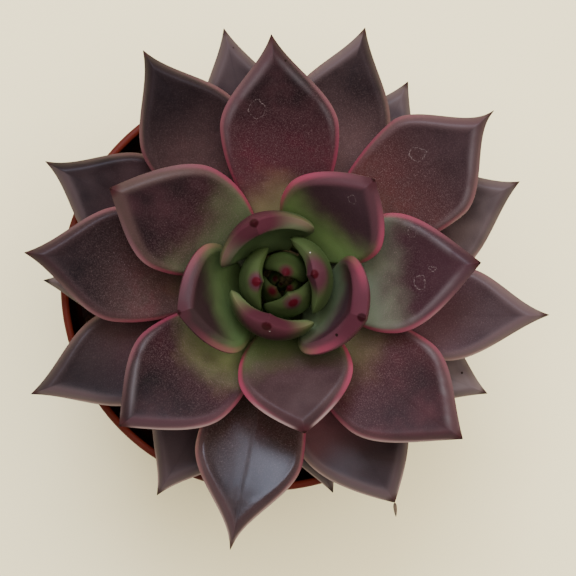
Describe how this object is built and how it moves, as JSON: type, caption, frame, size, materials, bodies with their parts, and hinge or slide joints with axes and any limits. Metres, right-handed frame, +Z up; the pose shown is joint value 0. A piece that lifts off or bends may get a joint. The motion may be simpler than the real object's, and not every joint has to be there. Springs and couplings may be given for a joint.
{
  "type": "potted echeveria",
  "caption": "Fleshy-leaved echeveria rosette on a short stem, planted in a thin terracotta-coloured plastic pot with drain holes",
  "frame": {"origin": "the middle of the flat round base under the pot, on the surface that it stands on", "axes": "+Z up along the pot's axis; +Y is the top edge of the picture, which looks straight down, and +X is its right edge"},
  "size_m": [0.126, 0.1274, 0.1282],
  "materials": {
    "leaf_skin": "satin skin under a pale bloom",
    "terracotta_plastic": "matte moulded plastic",
    "potting_mix": "crumbly and damp",
    "stem_skin": "dull bark-like skin"
  },
  "bodies": {
    "root": {"leaf_01": "leaf_skin", "leaf_02": "leaf_skin", "leaf_03": "leaf_skin", "leaf_04": "leaf_skin", "leaf_05": "leaf_skin", "leaf_06": "leaf_skin", "leaf_07": "leaf_skin", "leaf_08": "leaf_skin", "leaf_09": "leaf_skin", "leaf_10": "leaf_skin", "leaf_11": "leaf_skin", "leaf_12": "leaf_skin", "leaf_13": "leaf_skin", "leaf_14": "leaf_skin", "leaf_15": "leaf_skin", "leaf_16": "leaf_skin", "leaf_17": "leaf_skin", "leaf_18": "leaf_skin", "leaf_19": "leaf_skin", "leaf_20": "leaf_skin", "leaf_21": "leaf_skin", "leaf_22": "leaf_skin", "leaf_23": "leaf_skin", "leaf_24": "leaf_skin", "leaf_25": "leaf_skin", "leaf_26": "leaf_skin", "leaf_27": "leaf_skin", "leaf_28": "leaf_skin", "leaf_29": "leaf_skin", "leaf_30": "leaf_skin", "leaf_31": "leaf_skin", "leaf_32": "leaf_skin", "leaf_33": "leaf_skin", "leaf_34": "leaf_skin", "leaf_35": "leaf_skin", "pot": "terracotta_plastic", "soil": "potting_mix", "stem": "stem_skin"}
  },
  "joints": []
}
